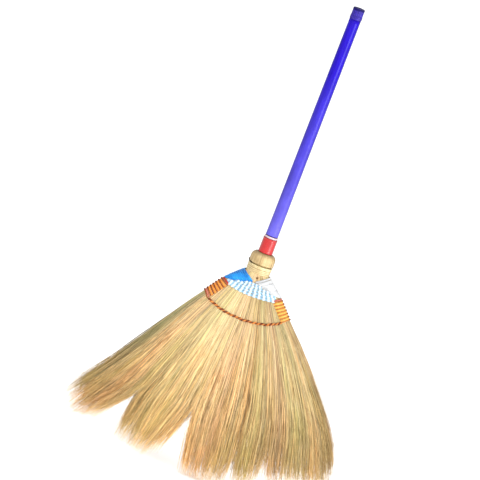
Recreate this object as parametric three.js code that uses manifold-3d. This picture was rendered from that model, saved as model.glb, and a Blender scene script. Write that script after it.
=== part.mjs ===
// A natural grass sweeping broom: a long sleeved handle, a bound neck and a wide flat fan of straw,
// woven with twine below the neck and stitched across. Millimetres, +Z up the handle, +X across the
// fan, front towards -Y. The origin is under the middle of the straw tips.
import * as THREE from "three";
import { mergeVertices } from "three/addons/utils/BufferGeometryUtils.js";
import Module from "manifold-3d";

const wasm = await Module();
wasm.setup();

// ---- Driving dimensions ----------------------------------------------------------------------

const GAP = 0.3; // what touching pieces keep between them

const TOP = 1000; // handle end above the straw tips
const CAP_BOTTOM = 976.6;
const CAP_LIP = 7.6; // height of the lip round the cap's mouth
const CAP_ROOF = 3; // thickness of the cap's closed end
const SLEEVE_BOTTOM = 511.5;
const RING_BOTTOM = 507;
const BAND_BOTTOM = 475.8;
const CORE_BOTTOM = 415;

const HANDLE_R_TOP = 11.8; // outer radius of the handle where the cap meets it
const HANDLE_R_BOTTOM = 12.8;
const SLEEVE_WALL = 1.3;
const RING_R = 14;
const BAND_R = 14.9;

const NECK_R = 25.4;
const NECK_BORE_R = 22;
const COLLAR_BOTTOM = 452.2;
const SHOULDER_WIDE = 10.2; // the collar's rounded shoulder, across and up
const SHOULDER_TALL = 12;
const ROOF = 469; // underside of the collar's top
const WINDING_BOTTOM = 433.6;
const WINDING_TOP = 450;
const WINDING_TURNS = 5;
const WIRE_R = 0.8;

// Half sizes of the flat twine, and what it keeps off the straw under it.
const WEAVE_TWINE = { wide: 1.25, thin: 1 };
const BINDING_TWINE = { wide: 2, thin: 0.9 };
const STITCH_TWINE = { wide: 1.3, thin: 1.1 };
const TWINE_CLEAR = 0.6;
const WRAP_THICKNESS = 2.4;

const NECK_POINT = 417; // height of the V under the neck, front and back
// One half's wrap, as places across and up: its point under the neck, top corner and outer corner.
const WRAP_POINT = [1.6, 415.5, 417.5];
const WRAP_TOP_Z = 431.5;
const WRAP_OUTER_Z = 402.5;
const STITCH_HEIGHTS = [350, 336, 356]; // left end, middle, right end
const BINDING_S = 0.8; // the edge bindings go in through the straw here
const ROUND_EDGE = [0.9, 0.945, 0.98, 1]; // where the fan's rounded edge is measured

// ---- The fan's shape -------------------------------------------------------------------------
// A straw keeps one value of s, from -1 at the left edge to 1 at the right edge, all its length.

const EDGE_LEFT = [
  [0, 328], [80, 273.5], [160, 215], [244, 161.5], [320, 114.5], [369, 80],
  [401, 57], [417, 41.5], [428, 30], [433.1, 24.5], [433.4, 21.2], [470, 21.2],
];
const EDGE_RIGHT = [
  [0, 329], [95, 291], [144, 272], [190, 246], [268, 184], [320, 139], [361, 97.5], [385, 75.5],
  [401, 60.5], [417, 42.5], [428, 30], [433.1, 24.5], [433.4, 21.2], [470, 21.2],
];
const HALF_DEPTH = [
  [0, 17], [120, 15.5], [240, 12.5], [335, 10], [401, 11],
  [417, 15.5], [433.1, 24], [433.4, 21.2], [470, 21.2],
];
const SQUARENESS = [[0, 3.5], [401, 3.5], [428, 2.2], [433.1, 2], [470, 2]]; // 2 is an ellipse
const LEVELS = [468.6, 433.4, 433.1, 425, 417, 409, 401, 390, 374, 360, 345, 325, 270, 200, 120, 60];

const BUNDLE_EDGES = [
  -1, -0.9, -BINDING_S, -0.565, -0.405, -0.245, -0.087, 0.04,
  0.165, 0.29, 0.39, 0.486, 0.59, 0.7, BINDING_S, 0.9, 1,
];
// Where the straw parts into clumps: place, height of the cleft, and how fast each side leans away.
const CLEFTS = [
  { s: -0.565, top: 122, left: 0.42, right: 0.25, reach: 0.3 },
  { s: -0.087, top: 131, left: 0.27, right: 0.19, reach: 0.3 },
  { s: 0.29, top: 70, left: 0.1, right: 0.06, reach: 0.12 },
  { s: 0.486, top: 90, left: 0.1, right: 0.06, reach: 0.12 },
];
const TIP_RISE = { left: 75, right: 124 }; // how far the outermost tips end above the middle ones
const TIP_LENGTH = 28;

/** A smooth curve through rows of [at, value], which never swings past a row. */
function smooth(rows) {
  const slope = (i) => (rows[i + 1][1] - rows[i][1]) / (rows[i + 1][0] - rows[i][0]);
  const tangent = (i) => {
    if (i === 0) return slope(0);
    if (i === rows.length - 1) return slope(i - 1);
    const [a, b] = [slope(i - 1), slope(i)];
    return a * b > 0 ? (2 * a * b) / (a + b) : 0;
  };
  return (at) => {
    const clamped = THREE.MathUtils.clamp(at, rows[0][0], rows.at(-1)[0]);
    const i = Math.max(0, rows.findIndex((row) => row[0] >= clamped) - 1);
    const [[x0, y0], [x1, y1]] = [rows[i], rows[i + 1]];
    const h = x1 - x0;
    const t = (clamped - x0) / h;
    return (
      y0 * (1 + 2 * t) * (1 - t) ** 2 + y1 * t * t * (3 - 2 * t) +
      h * tangent(i) * t * (1 - t) ** 2 - h * tangent(i + 1) * t * t * (1 - t)
    );
  };
}

const edgeLeft = smooth(EDGE_LEFT);
const edgeRight = smooth(EDGE_RIGHT);
const halfDepth = smooth(HALF_DEPTH);
const squareness = smooth(SQUARENESS);

const halfWidth = (s, z) => (s < 0 ? edgeLeft(z) : edgeRight(z));
const across = (s, z) => s * halfWidth(s, z);

/** Half the fan's depth at a straw, grown by off. */
function depthAt(s, z, off = 0) {
  const n = squareness(z);
  return (halfDepth(z) + off) * Math.max(0, 1 - Math.abs(s) ** n) ** (1 / n);
}

/** A point off the fan's surface: side is -1 on the front and 1 on the back. */
function onFan(s, z, side, off) {
  const x = across(s, z) + Math.sign(s) * off * Math.abs(s) ** 8;
  return new THREE.Vector3(x, side * depthAt(s, z, off), z);
}

/** The way the straw runs at a place, downwards. */
function strawDirection(s, z) {
  return new THREE.Vector3(across(s, z - 1) - across(s, z + 1), 0, -2).normalize();
}

// ---- Building closed bodies ------------------------------------------------------------------

/** The triangles that fill one ring of points. */
function fill(ring) {
  const normal = new THREE.Vector3();
  ring.forEach((p, i) => {
    normal.add(new THREE.Vector3().crossVectors(p, ring[(i + 1) % ring.length]));
  });
  const turn = new THREE.Quaternion()
    .setFromUnitVectors(normal.normalize(), new THREE.Vector3(0, 0, 1));
  const flat = ring.map((p) => p.clone().applyQuaternion(turn));
  return THREE.ShapeUtils.triangulateShape(flat.map((p) => new THREE.Vector2(p.x, p.y)), []);
}

/** Joins equal rings of points into one body, closed on itself or filled at both ends. */
function loft(rings, closed = false) {
  const n = rings[0].length;
  const faces = [];
  const steps = closed ? rings.length : rings.length - 1;
  for (let i = 0; i < steps; i += 1) {
    const a = i * n;
    const b = ((i + 1) % rings.length) * n;
    for (let j = 0; j < n; j += 1) {
      const k = (j + 1) % n;
      faces.push(a + j, a + k, b + k, a + j, b + k, b + j);
    }
  }
  if (!closed) {
    const end = (rings.length - 1) * n;
    fill(rings[0]).forEach(([a, b, c]) => faces.push(c, b, a));
    fill(rings.at(-1)).forEach(([a, b, c]) => faces.push(end + a, end + b, end + c));
  }
  const geometry = new THREE.BufferGeometry();
  const positions = rings.flat().flatMap((p) => [p.x, p.y, p.z]);
  geometry.setAttribute("position", new THREE.Float32BufferAttribute(positions, 3));
  geometry.setIndex(faces);
  return facingOut(geometry);
}

/** Turns a body's faces round if they point inwards. */
function facingOut(geometry) {
  const position = geometry.getAttribute("position");
  const index = geometry.getIndex().array;
  const corner = [0, 1, 2].map(() => new THREE.Vector3());
  let volume = 0;
  for (let i = 0; i < index.length; i += 3) {
    corner.forEach((p, k) => p.fromBufferAttribute(position, index[i + k]));
    volume += corner[0].dot(corner[1].cross(corner[2]));
  }
  if (volume < 0) {
    for (let i = 0; i < index.length; i += 3) [index[i], index[i + 1]] = [index[i + 1], index[i]];
  }
  return geometry;
}

/** A body turned about the Z axis, from [radius, height] points. */
function turned(profile, segments) {
  const points = profile.map(([r, z]) => new THREE.Vector2(r, z));
  const geometry = new THREE.LatheGeometry(points, segments).rotateX(Math.PI / 2);
  return facingOut(geometry);
}

/** A tube about the Z axis whose radii may change from its bottom to its top. */
function sleeve(bottom, top, outer, inner, edge, segments) {
  return turned([
    [inner[0], bottom], [outer[0] - edge, bottom], [outer[0], bottom + edge],
    [outer[1], top - edge], [outer[1] - edge, top], [inner[1], top], [inner[0], bottom],
  ], segments);
}

/** Flat twine along a path of {at, wide}: wide is the direction of its broad side. */
function twine(path, size, closed = false) {
  const corners = [[1, 0], [0.4, 1], [-0.4, 1], [-1, 0], [-0.4, -1], [0.4, -1]];
  const rings = path.map(({ at, wide }, i) => {
    const before = path[closed ? (i + path.length - 1) % path.length : Math.max(0, i - 1)].at;
    const after = path[closed ? (i + 1) % path.length : Math.min(path.length - 1, i + 1)].at;
    const normal = after.clone().sub(before).cross(wide).normalize();
    return corners.map(([a, b]) => at.clone()
      .addScaledVector(wide, a * size.wide)
      .addScaledVector(normal, b * size.thin));
  });
  return loft(rings, closed);
}

function toSolid(geometry) {
  const bare = geometry.clone();
  bare.deleteAttribute("normal");
  bare.deleteAttribute("uv");
  const merged = mergeVertices(bare, 1e-4);
  return new wasm.Manifold(new wasm.Mesh({
    numProp: 3,
    vertProperties: new Float32Array(merged.getAttribute("position").array),
    triVerts: new Uint32Array(merged.getIndex().array),
  }));
}

function fromSolid(solid) {
  const mesh = solid.getMesh();
  const geometry = new THREE.BufferGeometry();
  geometry.setAttribute("position", new THREE.Float32BufferAttribute(mesh.vertProperties, 3));
  geometry.setIndex(new THREE.Uint32BufferAttribute(mesh.triVerts, 1));
  return geometry;
}

const cut = (geometry, ...tools) =>
  fromSolid(tools.reduce((solid, tool) => solid.subtract(toSolid(tool)), toSolid(geometry)));

/** A plain cylinder between two points. */
function rod(from, to, radius, segments = 12) {
  const line = to.clone().sub(from);
  const turn = new THREE.Quaternion()
    .setFromUnitVectors(new THREE.Vector3(0, 1, 0), line.clone().normalize());
  const middle = from.clone().addScaledVector(line, 0.5);
  return new THREE.CylinderGeometry(radius, radius, line.length(), segments)
    .applyQuaternion(turn)
    .translate(middle.x, middle.y, middle.z);
}

// ---- Materials and the assembly ---------------------------------------------------------------

const broom = new THREE.Group();

const FINISH = {
  blueSleeve: { color: 0x3a2be0, roughness: 0.3, metalness: 0 },
  cap: { color: 0x3d34a8, roughness: 0.4, metalness: 0 },
  white: { color: 0xf2f2f0, roughness: 0.45, metalness: 0 },
  red: { color: 0xd8262a, roughness: 0.25, metalness: 0 },
  poleWood: { color: 0xb98f5a, roughness: 0.7, metalness: 0 },
  rattan: { color: 0xe2c890, roughness: 0.55, metalness: 0 },
  darkSteel: { color: 0x3a332a, roughness: 0.5, metalness: 1 },
  straw: { color: 0xd6b478, roughness: 0.8, metalness: 0 },
  blueTwine: { color: 0x1585ee, roughness: 0.5, metalness: 0 },
  whiteTwine: { color: 0xf4f6f8, roughness: 0.5, metalness: 0 },
  orangeTwine: { color: 0xf09a3c, roughness: 0.55, metalness: 0 },
  redTwine: { color: 0xa8322a, roughness: 0.55, metalness: 0 },
  brownTwine: { color: 0x8a4a12, roughness: 0.6, metalness: 0 },
};

function add(name, geometry, finish) {
  const mesh = new THREE.Mesh(geometry, new THREE.MeshStandardMaterial(FINISH[finish]));
  mesh.name = name;
  broom.add(mesh);
}

// ---- The handle --------------------------------------------------------------------------------

/** The handle's outer radius at a height: it tapers a little towards the top. */
const handleR = (z) => THREE.MathUtils.mapLinear(z, SLEEVE_BOTTOM, CAP_BOTTOM, HANDLE_R_BOTTOM, HANDLE_R_TOP);
const coreR = (z) => handleR(z) - SLEEVE_WALL - GAP;

function nailAt(s, side) {
  const z = NECK_POINT + 9;
  const surface = onFan(s, z, side, 0);
  return { x: surface.x, surfaceY: surface.y, z, side };
}

// The head stands proud of the straw, which swells out above it.
const NAIL = { shankR: 0.9, headR: 2.3, headThick: 1.1, proud: 1.8, reach: 15 };
const NAILS = { front: nailAt(0.1025, -1), back: nailAt(-0.166, 1) };

/** A nail along Y, driven in from its side of the neck. */
function nail({ x, surfaceY, z, side }) {
  const under = NAIL.proud;
  const tip = -NAIL.reach;
  return turned([
    [0, tip], [NAIL.shankR, tip + 2], [NAIL.shankR, under], [NAIL.headR, under],
    [NAIL.headR, under + NAIL.headThick * 0.6], [NAIL.headR * 0.5, under + NAIL.headThick],
    [0, under + NAIL.headThick],
  ], 12).rotateX(-side * Math.PI / 2).translate(x, surfaceY, z);
}

/** The hole that a nail runs in, from outside the straw to just past its tip. */
function nailHole({ x, surfaceY, z, side }) {
  const outside = new THREE.Vector3(x, surfaceY + side * 4, z);
  const inside = new THREE.Vector3(x, surfaceY - side * (NAIL.reach + GAP), z);
  return rod(outside, inside, NAIL.shankR + GAP, 8);
}

function handleCore() {
  const top = TOP - CAP_ROOF - GAP;
  const pole = turned([
    [0, CORE_BOTTOM], [coreR(CORE_BOTTOM) - 1, CORE_BOTTOM], [coreR(CORE_BOTTOM), CORE_BOTTOM + 1],
    [coreR(top), top], [0, top],
  ], 28);
  return cut(pole, nailHole(NAILS.front), nailHole(NAILS.back));
}

/** The end cap: a cup with a lip round its mouth, flutes down its side and a flat rounded top. */
function endCap() {
  const flutes = 8;
  const around = 4 * flutes;
  const fluteDepth = 0.8;
  const lipTop = CAP_BOTTOM + CAP_LIP;
  const bore = coreR(CAP_BOTTOM) + GAP;
  const wall = HANDLE_R_TOP + 0.3;
  const stations = [
    [bore, TOP - CAP_ROOF], [bore, CAP_BOTTOM], [wall + 0.3, CAP_BOTTOM], [wall + 0.3, lipTop - 0.6],
    [wall - 0.1, lipTop], [wall - 0.1, lipTop + 0.8, fluteDepth], [wall - 0.1, TOP - 4, fluteDepth],
    [wall, TOP - 3], [wall - 0.2, TOP - 1.4], [wall - 1.6, TOP],
  ];
  return loft(stations.map(([r, z, groove = 0]) => Array.from({ length: around }, (_, i) => {
    const angle = (2 * Math.PI * (i + 2)) / around;
    const radius = i % 4 === 0 ? r - groove : r;
    return new THREE.Vector3(radius * Math.sin(angle), -radius * Math.cos(angle), z);
  })));
}

function addHandle() {
  add("handle_core", handleCore(), "poleWood");
  const sleeveTop = CAP_BOTTOM - GAP;
  add("handle_sleeve", sleeve(SLEEVE_BOTTOM, sleeveTop,
    [handleR(SLEEVE_BOTTOM), handleR(sleeveTop)],
    [handleR(SLEEVE_BOTTOM) - SLEEVE_WALL, handleR(sleeveTop) - SLEEVE_WALL], 0.4, 32), "blueSleeve");
  add("handle_end_cap", endCap(), "cap");
  const bore = coreR(BAND_BOTTOM) + GAP;
  const bores = [bore, bore];
  const ringTop = SLEEVE_BOTTOM - GAP;
  add("white_ring", sleeve(RING_BOTTOM, ringTop, [RING_R, RING_R], bores, 0.8, 28), "white");
  const bandTop = RING_BOTTOM - GAP;
  add("red_ferrule", sleeve(BAND_BOTTOM, bandTop, [BAND_R, BAND_R], bores, 0.7, 28), "red");
}

// ---- The neck ----------------------------------------------------------------------------------

/** The cap-shaped collar over the stalk butts, with a rounded shoulder. */
function neckCollar() {
  const top = BAND_BOTTOM - GAP;
  const bore = coreR(ROOF) + GAP;
  const shoulder = Array.from({ length: 6 }, (_, i) => {
    const angle = (i / 5) * (Math.PI / 2);
    return [
      NECK_R - SHOULDER_WIDE * (1 - Math.cos(angle)),
      top - SHOULDER_TALL * (1 - Math.sin(angle)),
    ];
  });
  return turned([
    [NECK_BORE_R, COLLAR_BOTTOM], [NECK_R - 0.8, COLLAR_BOTTOM], [NECK_R, COLLAR_BOTTOM + 0.8],
    ...shoulder, [bore, top], [bore, ROOF], [NECK_BORE_R, ROOF], [NECK_BORE_R, COLLAR_BOTTOM],
  ], 28);
}

/** The strip wound round the stalks under the collar, one rib to a turn. */
function neckWinding() {
  const pitch = (WINDING_TOP - WINDING_BOTTOM) / WINDING_TURNS;
  const outside = [];
  for (let turn = 0; turn < WINDING_TURNS; turn += 1) {
    const z = WINDING_BOTTOM + turn * pitch;
    const r = NECK_R - 1.1 + (0.8 * turn) / WINDING_TURNS;
    outside.push([r - 0.7, z], [r, z + 0.25 * pitch], [r, z + 0.75 * pitch]);
  }
  return turned([
    [NECK_BORE_R, WINDING_BOTTOM], ...outside, [NECK_R - 1, WINDING_TOP],
    [NECK_BORE_R, WINDING_TOP], [NECK_BORE_R, WINDING_BOTTOM],
  ], 24);
}

function neckWire() {
  const middleZ = (WINDING_TOP + COLLAR_BOTTOM) / 2;
  const profile = Array.from({ length: 7 }, (_, i) => [
    NECK_R - 1.2 + WIRE_R * Math.cos((i / 6) * 2 * Math.PI),
    middleZ + WIRE_R * Math.sin((i / 6) * 2 * Math.PI),
  ]);
  return turned(profile, 24);
}

function addNeck() {
  add("neck_collar", neckCollar(), "rattan");
  add("neck_wire", neckWire(), "darkSteel");
  add("neck_winding", neckWinding(), "rattan");
  add("neck_nail_front", nail(NAILS.front), "darkSteel");
  add("neck_nail_back", nail(NAILS.back), "darkSteel");
}

// ---- The straw ---------------------------------------------------------------------------------

/** How far a straw leans sideways below the clefts. middle is its bundle's own s. */
function lean(s, z, middle) {
  return CLEFTS.reduce((sum, cleft) => {
    const below = Math.max(0, cleft.top - z);
    const fade = Math.max(0, 1 - Math.abs(s - cleft.s) / cleft.reach);
    return sum + below * fade * (middle < cleft.s ? -cleft.left : cleft.right);
  }, 0);
}

/** Room between two bundles: wide where twine goes through, narrow elsewhere. */
function roomAt(s, z) {
  const through = [BINDING_S, 0.565, 0.59, 0.405, 0.39].includes(Math.abs(s));
  const low = Math.abs(s) === BINDING_S ? 345 : 401;
  const high = 412;
  if (!through || z > high + 8 || z < low - 20) return 0.6;
  return z > high || z < low ? 2 : 3.7;
}

/** How high above the lowest tips a straw ends. */
function tipHeight(s) {
  return (s < 0 ? TIP_RISE.left : TIP_RISE.right) * Math.max(0, Math.abs(s) - 0.05) ** 1.2;
}

/** Where a bundle's section is measured: evenly across it, or closer together round the fan's edge. */
function sectionPlaces(left, right) {
  if (left === -1) return ROUND_EDGE.map((s) => -s).reverse();
  if (right === 1) return ROUND_EDGE;
  return [0, 1 / 3, 2 / 3, 1].map((t) => THREE.MathUtils.lerp(left, right, t));
}

/** One bundle of stalks from inside the collar to its tips. */
function strawBundle(left, right) {
  const middle = (left + right) / 2;
  const tip = tipHeight(middle);
  const heights = [...LEVELS.filter((z) => z > tip + TIP_LENGTH + 8), tip + TIP_LENGTH, tip];
  const rings = heights.map((z) => {
    const taper = z === tip ? 0.35 : 1;
    const centre = across(middle, z) + lean(middle, z, middle);
    const x0 = across(left, z) + lean(left, z, middle) + (left === -1 ? 0 : roomAt(left, z) / 2);
    const x1 = across(right, z) + lean(right, z, middle) - (right === 1 ? 0 : roomAt(right, z) / 2);
    const back = sectionPlaces(left, right).map((s) => {
      const x = THREE.MathUtils.mapLinear(s, left, right, x0, x1);
      return new THREE.Vector3(centre + (x - centre) * taper, depthAt(s, z) * taper, z);
    });
    const front = back.map((p) => new THREE.Vector3(p.x, -p.y, p.z));
    return [...front, ...back.filter((p) => p.y > 0).reverse()];
  });
  return loft(rings);
}

/** The room for the pole between the stalks. */
const poleRoom = () => new THREE.CylinderGeometry(
  coreR(CORE_BOTTOM) + GAP, coreR(CORE_BOTTOM) + GAP, LEVELS[0] - CORE_BOTTOM + 10, 20,
).rotateX(Math.PI / 2).translate(0, 0, (LEVELS[0] + CORE_BOTTOM + 10) / 2 - GAP);

function addStraw() {
  for (let i = 0; i + 1 < BUNDLE_EDGES.length; i += 1) {
    const [left, right] = [BUNDLE_EDGES[i], BUNDLE_EDGES[i + 1]];
    let bundle = strawBundle(left, right);
    const nearest = Math.min(Math.abs(left), Math.abs(right));
    if (nearest * NECK_BORE_R < coreR(CORE_BOTTOM) + GAP || left * right < 0) {
      bundle = cut(bundle, poleRoom(), nailHole(NAILS.front), nailHole(NAILS.back));
    }
    add(`straw_bundle_${String(i + 1).padStart(2, "0")}`, bundle, "straw");
  }
}

// ---- The twine ---------------------------------------------------------------------------------

/** Twine going in through the straw at s and z, from one side of the fan to the other. */
function passThrough(s, z, off, from, outward) {
  const wide = strawDirection(s, z);
  const x = across(s, z);
  const depth = depthAt(s, z);
  return [
    [x + outward * 0.6, from * (depth + off)], [x, from * (depth - 1.5)],
    [x, -from * (depth - 1.5)], [x + outward * 0.6, -from * (depth + off)],
  ].map(([px, py]) => ({ at: new THREE.Vector3(px, py, z), wide }));
}

/** One row of twine across the front, in through the straw, back along the other side and out again. */
function rowPath([leftZ, middleZ, rightZ], [left, right], size) {
  const off = TWINE_CLEAR + size.thin;
  const steps = 12;
  const heightAt = (s) => (s < 0
    ? THREE.MathUtils.lerp(middleZ, leftZ, (s / left) ** 2)
    : THREE.MathUtils.lerp(middleZ, rightZ, (s / right) ** 2));
  const face = (side) => Array.from({ length: steps - 1 }, (_, i) => {
    const s = THREE.MathUtils.lerp(left, right, (i + 1) / steps);
    const z = heightAt(s);
    return { at: onFan(s, z, side, off), wide: strawDirection(s, z) };
  });
  return [
    ...face(-1), ...passThrough(right, rightZ, off, -1, -1),
    ...face(1).reverse(), ...passThrough(left, leftZ, off, 1, 1),
  ];
}

/** Twine round one edge of the fan, from the straw at BINDING_S round the outside and back. */
function edgeLoop(sign, [outerZ, innerZ]) {
  const off = TWINE_CLEAR + BINDING_TWINE.thin;
  const places = [
    ...ROUND_EDGE.map((s) => [s, -1]),
    ...ROUND_EDGE.slice(0, -1).reverse().map((s) => [s, 1]),
  ];
  const round = places.map(([s, side]) => {
    const z = THREE.MathUtils.mapLinear(s, 1, BINDING_S, outerZ, innerZ);
    return { at: onFan(sign * s, z, side, off), wide: strawDirection(sign * s, z) };
  });
  return [...round, ...passThrough(sign * BINDING_S, innerZ, off, 1, sign)];
}

/** A run of edge loops wound on from each other as one length of twine. */
function edgeWinding(sign, loops) {
  const turns = loops.map((loop) => edgeLoop(sign, loop));
  const points = turns[0].length;
  const last = (turns.length - 1) * points;
  return Array.from({ length: last + 1 }, (_, i) => {
    const turn = Math.floor(i / points);
    const here = turns[turn][i % points];
    const next = turns[Math.min(turn + 1, turns.length - 1)][i % points];
    return { at: here.at.clone().lerp(next.at, (i % points) / points), wide: here.wide };
  });
}

/** The close winding round one half of the stalks under the neck, as one shell. */
function halfWrap(sign) {
  const inner = 1.2;
  const steps = 6;
  const [pointX, pointLow, pointHigh] = WRAP_POINT;
  const column = (share, side) => [0, 1 / 3, 2 / 3, 1].map((t) => {
    const outerZ = THREE.MathUtils.lerp(WRAP_OUTER_Z, WRAP_TOP_Z, t);
    const z = THREE.MathUtils.lerp(THREE.MathUtils.lerp(pointLow, pointHigh, t), outerZ, share);
    const x = THREE.MathUtils.lerp(pointX, halfWidth(sign, outerZ), share);
    return { s: sign * Math.min(1, x / halfWidth(sign, z)), z, side };
  });
  const shares = Array.from({ length: steps + 1 }, (_, i) => 1 - (1 - i / steps) ** 2);
  const columns = [
    ...shares.map((share) => column(share, -1)),
    ...shares.slice(0, -1).reverse().map((share) => column(share, 1)),
  ];
  return loft(columns.map((places) => {
    const skin = (off) => places.map(({ s, z, side }) => onFan(s, z, side, off));
    return [...skin(inner), ...skin(inner + WRAP_THICKNESS).reverse()];
  }));
}

// Rows of the woven band: heights at the left end, middle and right end, and where they go in.
const WEAVE_ROWS = [
  { heights: [408.5, 411, 408.5], ends: [-0.405, 0.39] },
  { heights: [405.6, 405.3, 405.6], ends: [-0.565, 0.59] },
  { heights: [402.6, 399.5, 402.6], ends: [-BINDING_S, BINDING_S] },
  { heights: [399.6, 393.7, 399.6], ends: [-BINDING_S, BINDING_S] },
  { heights: [396.2, 388, 396.2], ends: [-BINDING_S, BINDING_S] },
];
// Edge loops: heights at the outside and where they go in, of the first loop and the last.
const EDGE_LOOPS = {
  left: { sign: -1, first: [398.4, 390.6], last: [366, 355.6] },
  right: { sign: 1, first: [398.4, 390.2], last: [368, 360.6] },
};
const ORANGE_TURNS = 5;

function addTwine() {
  add("blue_twine_wrap", halfWrap(-1), "blueTwine");
  add("white_twine_wrap", halfWrap(1), "whiteTwine");
  WEAVE_ROWS.forEach(({ heights, ends }, i) => {
    const path = rowPath(heights, ends, WEAVE_TWINE);
    add(`weave_row_${i + 1}`, twine(path, WEAVE_TWINE, true), "whiteTwine");
  });
  Object.entries(EDGE_LOOPS).forEach(([side, { sign, first, last }]) => {
    const loops = Array.from({ length: ORANGE_TURNS + 2 }, (_, i) =>
      first.map((z, k) => THREE.MathUtils.lerp(z, last[k], i / (ORANGE_TURNS + 1))));
    const orange = edgeWinding(sign, loops.slice(1, -1));
    add(`${side}_edge_red_loop`, twine(edgeLoop(sign, loops[0]), BINDING_TWINE, true), "redTwine");
    add(`${side}_edge_orange_binding`, twine(orange, BINDING_TWINE), "orangeTwine");
    add(`${side}_edge_last_loop`, twine(edgeLoop(sign, loops.at(-1)), BINDING_TWINE, true), "redTwine");
  });
  [["orange", 0], ["brown", 2 * STITCH_TWINE.wide + GAP]].forEach(([colour, below]) => {
    const heights = STITCH_HEIGHTS.map((z) => z - below);
    const path = rowPath(heights, [-BINDING_S, BINDING_S], STITCH_TWINE);
    add(`stitch_cord_${colour}`, twine(path, STITCH_TWINE, true), `${colour}Twine`);
  });
}

addHandle();
addNeck();
addStraw();
addTwine();

export default broom;
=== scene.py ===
"""Looks for the grass sweeping broom: stalks, twine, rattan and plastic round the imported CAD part.

Lengths are millimetres in the helpers and turn into metres where a mesh is made.
"""
import math

import bpy
import numpy as np
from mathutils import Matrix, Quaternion, Vector


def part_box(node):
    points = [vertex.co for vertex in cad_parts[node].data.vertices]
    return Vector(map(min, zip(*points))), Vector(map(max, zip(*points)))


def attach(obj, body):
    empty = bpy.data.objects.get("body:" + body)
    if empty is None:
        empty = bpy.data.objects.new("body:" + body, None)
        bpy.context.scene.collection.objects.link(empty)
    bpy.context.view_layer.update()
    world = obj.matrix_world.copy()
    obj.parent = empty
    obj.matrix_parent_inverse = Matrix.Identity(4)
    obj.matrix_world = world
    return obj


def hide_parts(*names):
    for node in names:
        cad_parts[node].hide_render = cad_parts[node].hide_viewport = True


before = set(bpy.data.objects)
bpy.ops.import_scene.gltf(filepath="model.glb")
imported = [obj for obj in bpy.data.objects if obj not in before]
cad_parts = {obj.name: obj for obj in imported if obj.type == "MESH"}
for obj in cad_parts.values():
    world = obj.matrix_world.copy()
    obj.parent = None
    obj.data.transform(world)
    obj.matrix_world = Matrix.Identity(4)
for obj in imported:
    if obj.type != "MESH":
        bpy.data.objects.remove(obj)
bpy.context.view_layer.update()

METRE = 1000.0  # millimetres in a metre
rng = np.random.default_rng(71)


# ---- What the frame gives ---------------------------------------------------------------------

def height_span(node):
    """A CAD node's lowest and highest place, in millimetres."""
    low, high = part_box(node)
    return low[2] * METRE, high[2] * METRE


def outer_radius(node):
    """How far a round CAD node goes from the handle's axis, in millimetres."""
    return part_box(node)[1][0] * METRE


CAP_BOTTOM, HANDLE_TOP = height_span("handle_end_cap")
CAP_R = outer_radius("handle_end_cap")
SLEEVE_BOTTOM, SLEEVE_TOP = height_span("handle_sleeve")
SLEEVE_R = outer_radius("handle_sleeve")
RING_BOTTOM, RING_TOP = height_span("white_ring")
RING_R = outer_radius("white_ring")
FERRULE_BOTTOM, FERRULE_TOP = height_span("red_ferrule")
FERRULE_R = outer_radius("red_ferrule")
COLLAR_BOTTOM, COLLAR_TOP = height_span("neck_collar")
NECK_R = outer_radius("neck_collar")
WINDING_BOTTOM, WINDING_TOP = height_span("neck_winding")
WIRE_Z = sum(height_span("neck_wire")) / 2
WRAP_BOTTOM, WRAP_TOP = height_span("blue_twine_wrap")

# ---- The fan's shape --------------------------------------------------------------------------
# A stalk keeps one value of s, from -1 at the left edge to 1 at the right edge, all its length.
# The first four lists are rows of (height, value): half the width on the left and on the right,
# half the depth, and how square the section is, where 2 is an ellipse.

EDGE_LEFT = [
    (0, 328), (80, 273.5), (160, 215), (244, 161.5), (320, 114.5), (369, 80),
    (401, 57), (417, 41.5), (428, 30), (433, 24.5), (440, 21),
]
EDGE_RIGHT = [
    (0, 333), (95, 292), (144, 272), (190, 245), (268, 184), (320, 139), (361, 97.5), (385, 75.5),
    (401, 60.5), (417, 42.5), (428, 30), (433, 24.5), (440, 21),
]
HALF_DEPTH = [
    (0, 17), (120, 15.5), (240, 12.5), (335, 10), (401, 11), (417, 15.5), (433, 23.5), (440, 20.5),
]
SQUARENESS = [(0, 3.5), (401, 3.5), (428, 2.2), (433, 2), (440, 2)]
# The places in s where one bundle of straw ends and the next starts.
BUNDLE_EDGES = [
    -1, -0.9, -0.8, -0.565, -0.405, -0.245, -0.087, 0.04,
    0.165, 0.29, 0.39, 0.486, 0.59, 0.7, 0.8, 0.9, 1,
]
# Where the straw parts: place, height, how fast the left and right sides lean away, and how far in s
# that reaches.
CLEFTS = [
    (-0.565, 122, 0.42, 0.25, 0.3),
    (-0.087, 131, 0.27, 0.19, 0.3),
    (0.29, 70, 0.14, 0.08, 0.12),
    (0.486, 90, 0.14, 0.08, 0.12),
]
# How high above the floor the longest stalks end, from the left edge to the right.
TIP_LINE = [
    (-1, 86), (-0.96, 76), (-0.9, 65), (-0.84, 50), (-0.72, 43), (-0.575, 48), (-0.558, 34),
    (-0.5, 24), (-0.4, 23), (-0.3, 19), (-0.2, 17), (-0.115, 30), (-0.092, 50), (-0.082, 8),
    (-0.04, 1), (0.1, 2), (0.22, 6), (0.284, 17), (0.3, 32), (0.35, 14), (0.4, 20), (0.478, 40),
    (0.5, 54), (0.53, 43), (0.6, 48), (0.725, 55), (0.84, 64), (0.93, 76), (0.965, 98), (1, 128),
]
# How bright the straw is, from the left edge to the right.
BRIGHTNESS = [
    (-1, 0.98), (-0.6, 0.89), (-0.3, 1.0), (0, 0.91), (0.2, 0.84), (0.5, 0.74), (1, 0.68),
]


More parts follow.
